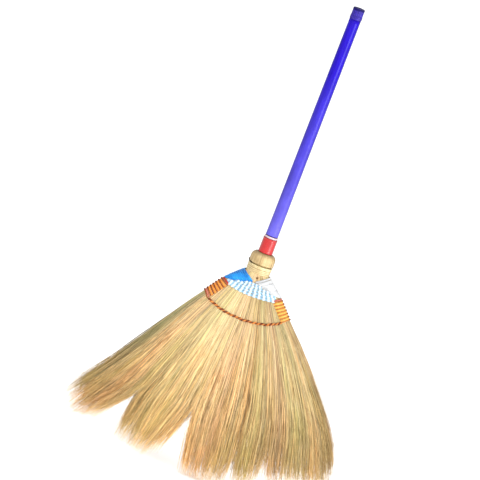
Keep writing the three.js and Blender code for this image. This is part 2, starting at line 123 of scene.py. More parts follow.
def smooth(rows):
    """A curve through rows of (at, value) that never swings past a row."""
    at_rows, values = np.array(rows, float).T
    slopes = np.diff(values) / np.diff(at_rows)
    tangents = np.concatenate([slopes[:1], np.zeros(len(slopes) - 1), slopes[-1:]])
    before, after = slopes[:-1], slopes[1:]
    same_way = before * after > 0
    total = np.where(same_way, before + after, 1)
    tangents[1:-1] = np.where(same_way, 2 * before * after / total, 0)

    def curve(at):
        at = np.clip(at, at_rows[0], at_rows[-1])
        i = np.clip(np.searchsorted(at_rows, at) - 1, 0, len(at_rows) - 2)
        h = at_rows[i + 1] - at_rows[i]
        t = (at - at_rows[i]) / h
        level = values[i] * (1 + 2 * t) * (1 - t) ** 2 + values[i + 1] * t * t * (3 - 2 * t)
        return level + h * t * (1 - t) * (tangents[i] * (1 - t) - tangents[i + 1] * t)

    return curve


edge_left, edge_right = smooth(EDGE_LEFT), smooth(EDGE_RIGHT)
half_depth, squareness = smooth(HALF_DEPTH), smooth(SQUARENESS)
tip_line = smooth(TIP_LINE)
straw_brightness = smooth(BRIGHTNESS)


def half_width(s, z):
    return np.where(s < 0, edge_left(z), edge_right(z))


def depth_at(s, z, off=0.0):
    n = squareness(z)
    return (half_depth(z) + off) * np.maximum(0, 1 - np.minimum(np.abs(s), 1) ** n) ** (1 / n)


def on_fan(s, z, side, off):
    """Points off the fan's surface: side is -1 on the front and 1 on the back."""
    outwards = np.abs(s) ** 8  # only near the outer edges does off push sideways too
    x = s * half_width(s, z) + np.sign(s) * off * outwards
    return np.stack(np.broadcast_arrays(x, side * depth_at(s, z, off), z), axis=-1)


def stalk_direction(s, z):
    """The way the stalks run at a place, downwards."""
    dx = s * (half_width(s, z - 1) - half_width(s, z + 1))
    direction = np.stack(np.broadcast_arrays(dx, 0.0, -2.0), axis=-1)
    return direction / np.linalg.norm(direction, axis=-1, keepdims=True)


# ---- Building meshes --------------------------------------------------------------------------

UP = np.array([0.0, 0.0, 1.0])


def new_object(name, data):
    made = bpy.data.objects.new(name, data)
    bpy.context.scene.collection.objects.link(made)
    return made


def finish_piece(mesh, looks, node):
    """Shows a mesh as a piece of the broom that stands for one CAD node."""
    piece = new_object(mesh.name, mesh)
    for look in looks:
        mesh.materials.append(look)
    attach(piece, "root")
    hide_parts(node)


def quad_mesh(name, points, quads, uv=None, values=None):
    """A smooth mesh from points in millimetres, with UVs per point and named point values."""
    mesh = bpy.data.meshes.new(name)
    mesh.from_pydata(points.reshape(-1, 3) / METRE, [], quads)
    mesh.shade_smooth()
    if uv is not None:
        layer = mesh.uv_layers.new(name="along_across")
        corners = np.empty(len(mesh.loops), int)
        mesh.loops.foreach_get("vertex_index", corners)
        layer.data.foreach_set("uv", uv.reshape(-1, 2)[corners].ravel())
    for label, value in (values or {}).items():
        if value.ndim == 2:
            rgba = np.concatenate([value, np.ones((len(value), 1))], axis=1)
            layer = mesh.attributes.new(label, "FLOAT_COLOR", "POINT")
            layer.data.foreach_set("color", rgba.ravel())
        else:
            layer = mesh.attributes.new(label, "FLOAT", "POINT")
            layer.data.foreach_set("value", value)
    return mesh


def grid_quads(rows, columns, close_rows, start=0):
    """Faces of a tube's grid of points, closed round it, and open or closed along it."""
    i = np.arange(rows if close_rows else rows - 1)
    i, j = np.meshgrid(i, np.arange(columns), indexing="ij")
    a, b = i * columns, (i + 1) % rows * columns
    k = (j + 1) % columns
    return np.stack([a + j, a + k, b + k, b + j], axis=-1).reshape(-1, 4) + start


def tube_mesh(name, *groups, values=None):
    """One mesh of several tubes: a group is (grids, whether they close on themselves).

    A grid is (rows along, columns round, xyz), and each group takes the material of its own number.
    """
    points, quads, uvs, numbers, start = [], [], [], [], 0
    for number, (grids, closed) in enumerate(groups):
        for grid in grids:
            rows, columns = grid.shape[:2]
            points.append(grid.reshape(-1, 3))
            faces = [grid_quads(rows, columns, closed, start)]
            if not closed:
                faces += cap_quads(rows, columns, start)
            quads += faces
            numbers += [number] * sum(len(one) for one in faces)
            steps = np.linalg.norm(np.diff(grid.mean(axis=1), axis=0), axis=1)
            along = np.concatenate([[0], np.cumsum(steps)]) / METRE
            around = np.linspace(0, 1, columns, endpoint=False)
            uvs.append(np.stack(np.meshgrid(along, around, indexing="ij"), axis=-1).reshape(-1, 2))
            start += rows * columns
    points, quads, uvs = np.concatenate(points), np.concatenate(quads), np.concatenate(uvs)
    mesh = quad_mesh(name, points, quads, uvs, values)
    mesh.polygons.foreach_set("material_index", np.array(numbers, np.int32))
    return mesh


def cap_quads(rows, columns, start):
    """Faces that fill both ends of a tube with an even number of points round it."""
    half = columns // 2
    j = np.arange(half - 1)
    end = start + (rows - 1) * columns
    far = (columns - 1) - j
    near_cap = np.stack([start + j, start + far, start + far - 1, start + j + 1], axis=-1)
    far_cap = np.stack([end + j, end + j + 1, end + far - 1, end + far], axis=-1)
    return [near_cap, far_cap]


def full_turn(count):
    return np.linspace(0, 2 * math.pi, count, endpoint=False)


def unit(v):
    shortest = 1e-9  # keeps a zero length from dividing
    return v / np.maximum(np.linalg.norm(v, axis=-1, keepdims=True), shortest)


def tangents_of(path, closed):
    if closed:
        return unit(np.roll(path, -1, axis=0) - np.roll(path, 1, axis=0))
    return unit(np.gradient(path, axis=0))


def through(points, count, closed=False):
    """count points on a smooth curve through the points given."""
    points = np.asarray(points, float)
    n = len(points)
    at = np.linspace(0, n if closed else n - 1, count, endpoint=not closed)
    i = np.minimum(at.astype(int), n - 1 if closed else n - 2)
    t = (at - i)[:, None]

    def pick(k):
        return points[(i + k) % n] if closed else points[np.clip(i + k, 0, n - 1)]

    p0, p1, p2, p3 = pick(-1), pick(0), pick(1), pick(2)
    squared = 2 * p0 - 5 * p1 + 4 * p2 - p3
    cubed = 3 * p1 - p0 - 3 * p2 + p3
    return 0.5 * (2 * p1 + (p2 - p0) * t + squared * t**2 + cubed * t**3)


def band(path, wide, half_wide, half_thin, closed=False, columns=10, flat=0.75):
    """A flat twine's grid of points: wide is the direction of its broad side at each point.

    With flat at 1 the section is an ellipse, and below 1 it is squarer.
    """
    tangent = tangents_of(path, closed)
    normal = unit(np.cross(tangent, wide))
    wide = unit(np.cross(normal, tangent))
    angle = full_turn(columns)
    a = np.sign(np.cos(angle)) * np.abs(np.cos(angle)) ** flat
    b = np.sign(np.sin(angle)) * np.abs(np.sin(angle)) ** flat
    half_wide = np.broadcast_to(half_wide, len(path))[:, None, None]
    half_thin = np.broadcast_to(half_thin, len(path))[:, None, None]
    across = wide[:, None] * a[:, None] * half_wide
    return path[:, None] + across + normal[:, None] * b[:, None] * half_thin


def round_cord(path, wide, radius, closed=False):
    """A round cord's or wire's grid of points."""
    return band(path, wide, radius, radius, closed, columns=8, flat=1.0)


def turned(profile, around, ripple=None):
    """A body of revolution's grid: profile is a closed loop of (radius, height)."""
    angle = full_turn(around)
    radius, height = np.array(profile, float).T
    radius = radius[:, None] * np.ones(around)
    if ripple is not None:
        radius = radius + ripple(radius, height[:, None], angle)
    x = radius * np.sin(angle)
    y = -radius * np.cos(angle)
    return np.stack([x, y, np.broadcast_to(height[:, None], x.shape)], axis=-1)


# ---- Materials --------------------------------------------------------------------------------

def linear(*colours):
    """Colours given as 0 to 255 display values, as the shader wants them."""
    c = np.array(colours) / 255
    return [tuple(one) for one in np.where(c <= 0.04045, c / 12.92, ((c + 0.055) / 1.055) ** 2.4)]


class Look:
    """A material being put together round one Principled shader."""

    def __init__(self, name, roughness, **sockets):
        self.material = bpy.data.materials.new(name)
        self.material.use_nodes = True
        self.nodes = self.material.node_tree.nodes
        self.links = self.material.node_tree.links
        self.shader = self.nodes["Principled BSDF"]
        self.shader.inputs["Roughness"].default_value = roughness
        for socket, value in sockets.items():
            self.shader.inputs[socket.replace("_", " ")].default_value = value

    def node(self, kind, **inputs):
        made = self.nodes.new(kind)
        for socket, value in inputs.items():
            self.feed(made.inputs[socket.replace("_", " ")], value)
        return made

    def feed(self, socket, value):
        if isinstance(value, bpy.types.NodeSocket):
            self.links.new(value, socket)
        else:
            socket.default_value = value

    def place(self, source="Object"):
        return self.nodes.new("ShaderNodeTexCoord").outputs[source]

    def noise(self, stretch, source=None, detail=3.0, roughness=0.55):
        """Noise in coordinates scaled by stretch: the object's, or those that source gives."""
        place = self.node("ShaderNodeMapping", Vector=source or self.place(), Scale=stretch)
        settings = {"Scale": 1.0, "Detail": detail, "Roughness": roughness}
        made = self.node("ShaderNodeTexNoise", Vector=place.outputs["Vector"], **settings)
        return made.outputs["Fac"]

    def z(self):
        return self.node("ShaderNodeSeparateXYZ", Vector=self.place()).outputs["Z"]

    def attribute(self, name, output="Fac"):
        made = self.nodes.new("ShaderNodeAttribute")
        made.attribute_name = name
        return made.outputs[output]

    def ramp(self, value, *stops):
        """Colours by value: stops are (position, colour)."""
        made = self.node("ShaderNodeValToRGB", Fac=value)
        elements = made.color_ramp.elements
        while len(elements) < len(stops):
            elements.new(1)
        for element, (position, colour) in zip(elements, stops):
            element.position = position
            element.color = (*colour, 1)
        return made.outputs["Color"]

    def blend(self, factor, first, second, kind="MIX"):
        made = self.nodes.new("ShaderNodeMix")
        made.data_type = "RGBA"
        made.blend_type = kind
        factor_in, first_in, second_in = 0, 6, 7  # the node's sockets for colours
        for socket, value in ((factor_in, factor), (first_in, first), (second_in, second)):
            self.feed(made.inputs[socket], (*value, 1) if isinstance(value, tuple) else value)
        return made.outputs[2]

    def height(self, low, high):
        """0 at one height and 1 at another, both in millimetres."""
        made = self.node("ShaderNodeMapRange", Value=self.z())
        made.inputs["From Min"].default_value = low / METRE
        made.inputs["From Max"].default_value = high / METRE
        return made.outputs["Result"]

    def mask(self, value, low, high, share):
        """0 up to the low value, growing to share at the high one."""
        return self.ramp(value, (low, (0, 0, 0)), (high, (share,) * 3))

    def edge_shade(self, tone, dark, share=0.7):
        """The colour with painted shade, going dark where the surface turns away from the view."""
        facing = self.node("ShaderNodeLayerWeight", Blend=0.35).outputs["Facing"]
        return self.blend(self.mask(facing, 0.2, 0.8, share), tone, dark)

    def colour(self, value):
        self.feed(self.shader.inputs["Base Color"], value)
        return self

    def rough(self, value, low, high):
        made = self.node("ShaderNodeMapRange", Value=value)
        made.inputs["To Min"].default_value = low
        made.inputs["To Max"].default_value = high
        self.feed(self.shader.inputs["Roughness"], made.outputs["Result"])
        return self

    def bump(self, height, distance_mm):
        made = self.node("ShaderNodeBump", Height=height, Strength=1.0, Distance=distance_mm / METRE)
        self.feed(self.shader.inputs["Normal"], made.outputs["Normal"])
        return self


def film(name, dark, top, bottom, span_z, roughness, specular):
    """Glossy plastic film shrunk on the pole: faint wrinkles, and paler towards its lower end."""
    dark, top, bottom = linear(dark, top, bottom)
    look = Look(name, roughness, Specular_IOR_Level=specular)
    wrinkles = look.noise((240, 240, 14))
    mottle = look.noise((60, 60, 25), detail=5)
    middle = tuple(0.5 * np.add(top, bottom))
    tone = look.ramp(look.height(*span_z), (0.0, bottom), (0.3, middle), (0.75, top))
    worn = look.blend(look.mask(mottle, 0.42, 0.75, 0.35), tone, dark)
    look.colour(look.edge_shade(worn, dark)).rough(mottle, roughness * 0.8, roughness * 1.3)
    return look.bump(wrinkles, 0.12).material


def plastic(name, dark, light, roughness, specular=0.5):
    """Moulded plastic with a fine speck."""
    dark, light = linear(dark, light)
    look = Look(name, roughness, Specular_IOR_Level=specular)
    speck = look.noise((400, 400, 400), detail=4)
    tone = look.edge_shade(look.ramp(speck, (0.3, dark), (0.7, light)), dark)
    look.colour(tone).rough(speck, roughness * 0.8, roughness * 1.25)
    return look.bump(speck, 0.04).material


def flat_twine(name, dark, mid, light):
    """Plastic twine: fine splits along its length, some of them dark."""
    dark, mid, light = linear(dark, mid, light)
    look = Look(name, 0.42, Specular_IOR_Level=0.3)
    splits = look.noise((60, 26, 1), look.place("UV"), detail=4)
    drift = look.noise((90, 90, 90), detail=2)
    tone = look.ramp(splits, (0.34, dark), (0.48, mid), (0.7, light))
    shaded = look.blend(look.mask(drift, 0.35, 0.7, 0.45), tone, dark)
    return look.colour(shaded).bump(splits, 0.22).material


def weave_twine():
    """The woven rows: white where the twine lies over the stalks, cooler where it goes under."""
    look = Look("woven white twine", 0.4, Specular_IOR_Level=0.3)
    splits = look.noise((60, 20, 1), look.place("UV"), detail=4)
    grey, white = linear((158, 184, 204), (206, 218, 224))
    over = look.ramp(splits, (0.32, grey), (0.6, white))
    deep, cool = linear((88, 128, 160), (138, 176, 198))
    under = look.ramp(splits, (0.3, deep), (0.6, cool))
    return look.colour(look.blend(look.attribute("over"), under, over)).bump(splits, 0.2).material


def stalks():
    """Dry grass: each stalk's own colour, with streaks and dark dashes that run along the stalks."""
    look = Look("dry grass", 0.55, Specular_IOR_Level=0.3)
    own = look.attribute("stalk_colour", "Color")
    own_s = look.attribute("own_s")
    along = look.node("ShaderNodeCombineXYZ", X=own_s, Z=look.z()).outputs["Vector"]

    def grain(across, up, detail=3):
        return look.noise((across, 1, up), along, detail)

    white, rosy, green = (1.0, 1.0, 1.0), (1.08, 0.95, 0.84), (0.93, 0.99, 0.76)
    streaks = grain(420, 14)
    streak_tone = look.ramp(streaks, (0.36, (0.45,) * 3), (0.52, white))
    worn = look.blend(0.85, own, streak_tone, "MULTIPLY")
    dashes = look.ramp(grain(210, 22), (0.38, (0.42, 0.3, 0.16)), (0.46, white))
    strength = look.ramp(look.height(380, 250), (0.0, (0.2,) * 3), (1.0, (0.6,) * 3))
    marked = look.blend(strength, worn, dashes, "MULTIPLY")
    patches = look.ramp(grain(9, 7, 2), (0.36, rosy), (0.5, white), (0.66, green))
    return look.colour(look.blend(0.55, marked, patches, "MULTIPLY")).bump(streaks, 0.1).material


def rattan(name, stretch, dark, mid, light, shadow_heights=None):
    """Split rattan or folded leaf: the last argument gives the heights where the painted shadow under
    the ferrule starts and where it is full.
    """
    dark, mid, light = linear(dark, mid, light)
    look = Look(name, 0.5, Specular_IOR_Level=0.35)
    fibres = look.noise(stretch, look.place("UV"), detail=5, roughness=0.65)
    stains = look.noise((70, 70, 50), detail=4)
    tone = look.ramp(fibres, (0.28, dark), (0.45, mid), (0.68, light))
    aged = look.blend(look.mask(stains, 0.42, 0.72, 0.6), tone, dark)
    # Painted shadow under the ferrule: the colour darkens towards the collar's top.
    if shadow_heights:
        painted_shadow = look.mask(look.height(*shadow_heights), 0.0, 1.0, 0.75)
        aged = look.blend(painted_shadow, aged, tuple(0.45 * np.array(dark)))
    shaded = look.edge_shade(aged, tuple(0.55 * np.array(dark)), 0.55)
    return look.colour(shaded).rough(fibres, 0.4, 0.65).bump(fibres, 0.25).material


def wire_look(name, dark, mid, light):
    """Dull or rusty metal."""
    dark, mid, light = linear(dark, mid, light)
    look = Look(name, 0.5, Metallic=0.6)
    rust = look.noise((700, 700, 700), detail=4)
    tone = look.ramp(rust, (0.35, dark), (0.6, mid), (0.8, light))
    return look.colour(tone).bump(rust, 0.05).material


def bare_wood():
    """The pole, with its grain along it."""
    look = Look("pole wood", 0.65)
    grain = look.noise((500, 500, 18), detail=4)
    dark, light = linear((150, 112, 70), (208, 172, 122))
    tone = look.ramp(grain, (0.3, dark), (0.7, light))
    return look.colour(tone).material


BLUE_FILM = film(
    "blue film", (12, 3, 66), (30, 5, 166), (94, 88, 190),
    (SLEEVE_BOTTOM, SLEEVE_TOP), 0.34, 0.12)
RED_FILM = film(
    "red film", (64, 2, 8), (176, 6, 8), (188, 10, 10),
    (FERRULE_BOTTOM, FERRULE_TOP), 0.34, 0.6)
CAP_PLASTIC = plastic("cap plastic", (24, 12, 96), (54, 38, 160), 0.45, 0.2)
WHITE_PLASTIC = plastic("white plastic", (164, 132, 142), (212, 194, 198), 0.35)
NAVY_EDGE = plastic("sleeve edge", (12, 6, 62), (24, 14, 96), 0.5, 0.1)
AZURE = flat_twine("azure twine", (1, 44, 112), (2, 124, 214), (60, 196, 246))
WHITE = flat_twine("white twine", (132, 134, 138), (192, 193, 194), (208, 208, 206))
ORANGE = flat_twine("orange twine", (166, 76, 10), (216, 130, 40), (234, 166, 80))
AMBER = flat_twine("amber twine", (190, 112, 34), (224, 160, 66), (236, 190, 110))
TOFFEE = flat_twine("toffee twine", (140, 72, 14), (186, 112, 36), (214, 148, 66))
RUST = flat_twine("rust twine", (92, 34, 2), (142, 62, 4), (176, 92, 20))
BROWN = flat_twine("brown twine", (56, 18, 2), (106, 40, 4), (150, 76, 18))
TAWNY = flat_twine("tawny twine", (150, 72, 18), (206, 126, 54), (226, 162, 94))
RED = flat_twine("red twine", (104, 16, 14), (168, 34, 24), (200, 72, 46))
PINK = flat_twine("pink twine", (120, 42, 34), (178, 92, 74), (210, 140, 112))
WEAVE = weave_twine()
STALKS = stalks()
# The collar's last two heights are where the painted shadow under the ferrule starts and where it is
# full.
COLLAR = rattan(
    "collar fibre", (8, 36, 1), (124, 94, 54), (176, 150, 104), (202, 180, 134),
    (COLLAR_TOP - 7, COLLAR_TOP + 2))
WINDING = rattan("rattan strip", (8, 12, 1), (166, 134, 86), (208, 190, 144), (228, 214, 172))
STEEL = wire_look("dark wire", (30, 22, 12), (56, 44, 26), (92, 70, 40))
OLIVE = wire_look("aged wire", (138, 122, 72), (182, 162, 102), (206, 186, 128))
NAIL = wire_look("rusty nail", (84, 54, 30), (122, 84, 50), (160, 118, 74))
WOOD = bare_wood()


# ---- The straw --------------------------------------------------------------------------------

STALK_POINTS = 15
WISP_POINTS = 7
STALK_SIDES = 3
MAIN_PER_UNIT = 3600  # stalks for each unit of s
WISPS_PER_UNIT = 2400
SKIN_SHARE = 0.62  # of the stalks, how many lie near the fan's front and back
TUFT_SPACING = 0.045  # in s, between the middles of the tufts that the tips gather in
STRAND_SPACING = 0.0085  # in s, between the strands that stalks cling together in
CLING_FROM, CLING_LENGTH = 400.0, 90.0  # where strands start, and how soon they are whole below it
LOOSE_BELOW = 330.0  # under this height nothing holds the stalks
MOST_BEND = 12.0  # how far a stalk strays from its straight run

# The colours of straw, each with its share everywhere and (more, place, width) where it is common.
STRAW_COLOURS = [
    ((250, 230, 178), 0.8, [(1.0, -0.2, 0.12)]),
    ((238, 200, 132), 0.8, []),
    ((214, 208, 142), 0.2, [(1.1, -0.47, 0.12), (1.4, 0.72, 0.09), (1.3, 0.38, 0.05)]),
    ((176, 122, 56), 0.2, [(0.6, -0.78, 0.1), (0.6, 0.3, 0.06), (1.0, 0.97, 0.05)]),
    ((246, 202, 158), 0.12, [(0.8, -0.72, 0.06), (1.2, 0.05, 0.09), (1.2, 0.56, 0.05)]),
    # The dark olive's share at the left edge is painted shade on the fan's side; its small share
    # everywhere is the straw's own.
    ((132, 126, 84), 0.04, [(1.0, -0.97, 0.05)]),
]
TOP_TINT = np.array([1.0, 1.0, 1.1])  # from LOOSE_BELOW up, going over into TIP_TINT at the floor
TIP_TINT = np.array([1.22, 1.12, 0.96])
WISP_TINT = np.array([1.12, 1.06, 1.04])
LEFT_SHADE = np.array([0.5, 0.42, 0.42])  # painted shade: how much darker the left edge is in its upper half

strand_count = int(2 / STRAND_SPACING) + 2
STRAND_TONE = rng.normal(1.0, 1.0, strand_count)
STRAND_DARK = rng.uniform(0, 1, strand_count)
STRAND_SHIFT = rng.uniform(-0.3, 0.3, strand_count)


def bump_at(s, middle, width):
    """1 at the middle, falling to nothing about two widths away."""
    return np.exp(-(((s - middle) / width) ** 2))


def stalk_colours(s, depth):
    """Each stalk's colour: a mixture that goes by its place, then its own brightness, with painted
    shade on some strands and on the stalks inside the fan.
    """
    shares = np.empty((len(s), len(STRAW_COLOURS)))
    for i, (_, everywhere, places) in enumerate(STRAW_COLOURS):
        shares[:, i] = everywhere
        for more, middle, width in places:
            shares[:, i] += more * bump_at(s, middle, width)
    shares *= rng.gamma(1.3, 1.0, shares.shape)
    shares /= shares.sum(axis=1, keepdims=True)
    palette = np.array(linear(*[row[0] for row in STRAW_COLOURS]))
    strand = strand_of(s)
    spread = 0.03 + 0.08 * np.abs(s)
    tone = 1 + spread * (STRAND_TONE[strand] - 1)
    # Some strands are a fifth darker, more of them towards the edges: painted shade, as for strands
    # sunk among the others.
    tone *= np.where(STRAND_DARK[strand] < 0.05 + 0.22 * np.abs(s), 0.8, 1.0)
    # Stalks inside the fan, away from its front and back, are a tenth darker: painted shade.
    tone *= straw_brightness(s) * np.where(depth > 0.8, 1.0, 0.9)
    brightness = rng.normal(1.02, 0.2, len(s)) * tone
    return (shares @ palette) * np.clip(brightness, 0.3, 1.35)[:, None]


def strand_of(s):
    return ((s + 1) / STRAND_SPACING).astype(int)


def strand_middle(s):
    strand = strand_of(s)
    return (strand + 0.5 + STRAND_SHIFT[strand]) * STRAND_SPACING - 1


def lean(s, z, own_s):
    """How far stalks lean sideways below the clefts."""
    moved = np.zeros(np.broadcast(s, z).shape)
    for middle, top, left, right, reach in CLEFTS:
        fade = np.maximum(0, 1 - np.abs(s - middle) / reach)
        moved += np.maximum(0, top - z) * fade * np.where(own_s < middle, -left, right)
    return moved


def tuft_of(s, tufts):
    """The nearest tuft's middle on the same side of every cleft."""
    clefts = np.array([row[0] for row in CLEFTS])
    same = np.searchsorted(clefts, s)[:, None] == np.searchsorted(clefts, tufts)[None]
    out_of_reach = 10  # further than any two places in s
    away = np.abs(s[:, None] - tufts[None]) + np.where(same, 0, out_of_reach)
    return tufts[np.argmin(away, axis=1)]


def stalk_paths(s, q, top, tip, points, wander, gather, tufts):
    """Paths from top down to tip: q is how far a stalk lies from the fan's middle layer, -1 to 1.

    wander is how far it strays, in millimetres, and gather is how far it goes to its tuft's middle.
    """
    t = np.linspace(0, 1, points) ** 1.5  # closest together at the top, where the neck bends them
    z = top[:, None] + (tip - top)[:, None] * t
    down = np.clip((LOOSE_BELOW - z) / LOOSE_BELOW, 0, 1)
    own_tuft = tuft_of(s, tufts)
    pull = gather[:, None] * down**2.2
    cling = 0.35 * np.clip((CLING_FROM - z) / CLING_LENGTH, 0, 1)
    s_strand = s[:, None] + (strand_middle(s) - s)[:, None] * cling
    s_here = s_strand + (own_tuft - s)[:, None] * pull
    x = s_here * half_width(s[:, None], z) + lean(s_here, z, s[:, None])
    drift = rng.normal(0, 1, (2, len(s), 1)) * wander[:, None]
    swing = rng.normal(0, 1, (2, len(s), 1)) * wander[:, None] * 0.4
    phase = rng.uniform(0, 2 * math.pi, (2, len(s), 1))
    bend = down**1.3 * drift + down * swing * np.sin(phase + z / 38)
    bend = np.clip(bend, -MOST_BEND, MOST_BEND)
    y = q[:, None] * depth_at(s_here, z)
    floor = 0.5  # no stalk goes below this height
    return np.stack([x + bend[0], y + 0.45 * bend[1], np.maximum(z, floor)], axis=-1)


def stalk_mesh(s, paths, radii, colours):
    """Many thin tubes, from paths (stalks, points, xyz) and radii (stalks, points).

    It gives the points, the faces, and each point's colour and s.
    """
    count, points = paths.shape[:2]
    tangent = unit(np.gradient(paths, axis=1))
    side = unit(np.cross(tangent, np.array([0.0, 1.0, 0.0])))
    front = np.cross(side, tangent)
    angle = full_turn(STALK_SIDES)[:, None]
    spokes = side[:, :, None] * np.cos(angle) + front[:, :, None] * np.sin(angle)
    rings = paths[:, :, None] + spokes * radii[:, :, None, None]
    one = grid_quads(points, STALK_SIDES, False)
    starts = np.arange(count) * points * STALK_SIDES
    quads = (one[None] + starts[:, None, None]).reshape(-1, 4)
    height = np.clip(paths[:, :, 2] / LOOSE_BELOW, 0, 1)[..., None]
    tinted = colours[:, None] * (TIP_TINT + (TOP_TINT - TIP_TINT) * height)
    # Painted shade on the fan's left edge, strongest in its upper half.
    left_edge = bump_at(s, -0.97, 0.1)[:, None, None]
    tinted *= 1 - LEFT_SHADE * left_edge * bump_at(height, 0.8, 0.35)
    own_colours = np.repeat(tinted.reshape(-1, 3), STALK_SIDES, axis=0)
    return rings.reshape(-1, 3), quads, own_colours, np.repeat(s, points * STALK_SIDES)


def main_stalks(left, right, tufts):
    """The full-length stalks of one bundle: most lie near its front and back."""
    count = int(MAIN_PER_UNIT * (right - left))
    s = rng.uniform(left, right, count)
    skin = rng.uniform(0, 1, count) < SKIN_SHARE
    depth = np.where(skin, 1 - 0.22 * rng.uniform(0, 1, count) ** 2, rng.uniform(0, 0.85, count))
    q = 0.96 * depth * rng.choice([-1, 1], count)
    skin_top = WINDING_BOTTOM + 4 - 8 * np.abs(s) ** 8
    top = np.where(skin, skin_top, rng.uniform(395, 425, count))
    short = np.abs(rng.normal(0, 12, count)) + rng.exponential(15, count)
    full_tip = tip_line(tuft_of(s, tufts)) * 0.5 + tip_line(s) * 0.5
    tip = full_tip + short + 12 * STRAND_DARK[strand_of(s)]
    gather = np.clip(rng.normal(0.18, 0.16, count), 0, 0.6)
    wander = np.abs(rng.normal(0, 4.6, count)) * (1 + np.abs(s) ** 12)
    paths = stalk_paths(s, q, top, tip, STALK_POINTS, wander, gather, tufts)
    t = np.linspace(0, 1, STALK_POINTS)
    thick = rng.uniform(0.55, 0.95, count)[:, None]
    radii = thick * np.interp(t, [0, 0.5, 0.75, 1], [0.85, 1.0, 0.62, 0.14])
    return stalk_mesh(s, paths, radii, stalk_colours(s, depth))


def wisps(left, right, tufts):
    """The fine branches that make the ends of the stalks fluffy."""
    count = int(WISPS_PER_UNIT * (right - left))
    s = rng.uniform(left, right, count)
    q = rng.uniform(-1.05, 1.05, count)
    tip = tip_line(s) + rng.exponential(24, count) - 10
    top = tip + rng.uniform(60, 170, count)
    gather = np.clip(rng.normal(0.3, 0.25, count), 0, 0.75)
    wander = np.abs(rng.normal(0, 7.5, count))
    paths = stalk_paths(s, q, top, tip, WISP_POINTS, wander, gather, tufts)
    thick = rng.uniform(0.2, 0.38, count)[:, None]
    radii = thick * np.linspace(1, 0.3, WISP_POINTS)
    colours = stalk_colours(s, np.abs(q)) * WISP_TINT
    return stalk_mesh(s, paths, radii, colours)


def add_straw():
    """Sixteen pieces, one for each bundle of the CAD."""
    tufts = np.arange(-1 + TUFT_SPACING / 2, 1, TUFT_SPACING)
    tufts = tufts + rng.normal(0, TUFT_SPACING * 0.25, len(tufts))
    for i, (left, right) in enumerate(zip(BUNDLE_EDGES, BUNDLE_EDGES[1:])):
        made = main_stalks(left, right, tufts), wisps(left, right, tufts)
        points, quads, colours, own_s = zip(*made)
        quads = np.concatenate([quads[0], quads[1] + len(points[0])])
        values = {"stalk_colour": np.concatenate(colours), "own_s": np.concatenate(own_s)}
        mesh = quad_mesh(f"straw_{i + 1:02d}", np.concatenate(points), quads, values=values)
        finish_piece(mesh, [STALKS], f"straw_bundle_{i + 1:02d}")


# ---- The twine --------------------------------------------------------------------------------

ROW_OFF = 1.2  # how far a row's ends lie off the straw where they go in


def through_straw(s, z, off, side):
    """Where twine goes in through the straw: from one side of the fan to the other."""
    x = float(s * half_width(s, z))
    depth = float(depth_at(s, z))
    outside, inside = depth + off * 0.4, depth - 2.5
    levels = (side * outside, side * inside, 0, -side * inside, -side * outside)
    return [(x, level, z) for level in levels]


def row_path(heights, left, right, off_at, count):
    """A closed path over the front from left to right and home over the back.

    heights are at the left end, the middle and the right end, and off_at gives how far off the straw
    the twine lies at each s.
    """
    left_z, middle_z, right_z = heights
    s = np.linspace(left, right, 121)[3:-3]  # the ends are left to through_straw
    end_z = np.where(s < 0, left_z, right_z)
    z = middle_z + (end_z - middle_z) * (s / np.where(s < 0, left, right)) ** 2
    front = on_fan(s, z, -1, off_at(s))
    back = on_fan(s, z, 1, off_at(s))[::-1]
    right_end = through_straw(right, right_z, ROW_OFF, -1)
    left_end = through_straw(left, left_z, ROW_OFF, 1)
    return through(np.concatenate([front, right_end, back, left_end]), count, closed=True)


def broad_side(path):
    """The direction across twine that lies over the stalks: the way the stalks run there."""
    x, z = path[:, 0], path[:, 2]
    s = x / half_width(x, z)
    return stalk_direction(s, z)


# Rows of the woven band: heights at the left end, middle and right end, and the s of each end.
WEAVE_ROWS = [
    ((409.6, 411, 409.6), -0.38, 0.36),
    ((405, 405.3, 405), -0.66, 0.66),
    ((400.4, 399.5, 400.4), -0.86, 0.84),
    ((397.4, 393.9, 396.4), -0.8, 0.8),
    ((394.6, 388.2, 392.4), -0.74, 0.76),
]
CHECKS = 14.0  # groups of stalks from the fan's middle to its edge that the rows go over and under


def add_weave():
    """Each row goes over one group of stalks and under the next, in columns down the band."""
    for i, (heights, left, right) in enumerate(WEAVE_ROWS):
        slip = rng.uniform(-0.09, 0.09)

        def over_at(s, slip=slip):
            wave = np.cos(2 * math.pi * (s * CHECKS / 2 + slip))
            return np.clip(0.42 + 0.85 * wave, 0, 1)

        def off_at(s):
            return 1.0 + 1.3 * over_at(s)

        path = row_path(heights, left, right, off_at, 420)
        over = over_at(path[:, 0] / half_width(path[:, 0], path[:, 2]))
        grid = band(path, broad_side(path), 2.3 + 0.7 * over, 0.75, closed=True, columns=10)
        values = {"over": np.repeat(over, grid.shape[1])}
        mesh = tube_mesh(f"weave_{i + 1}", ([grid], True), values=values)
        finish_piece(mesh, [WEAVE], f"weave_row_{i + 1}")


WRAP_TURNS = 11
WRAP_POINT = (1.6, 416.0)  # x and z where the first turn comes out at the fan's middle
WRAP_SPREAD = (50.0, 12.5)  # how much further out and lower the last turn comes out
WRAP_TUCK = 7.0  # how far the last turn runs on under the woven rows


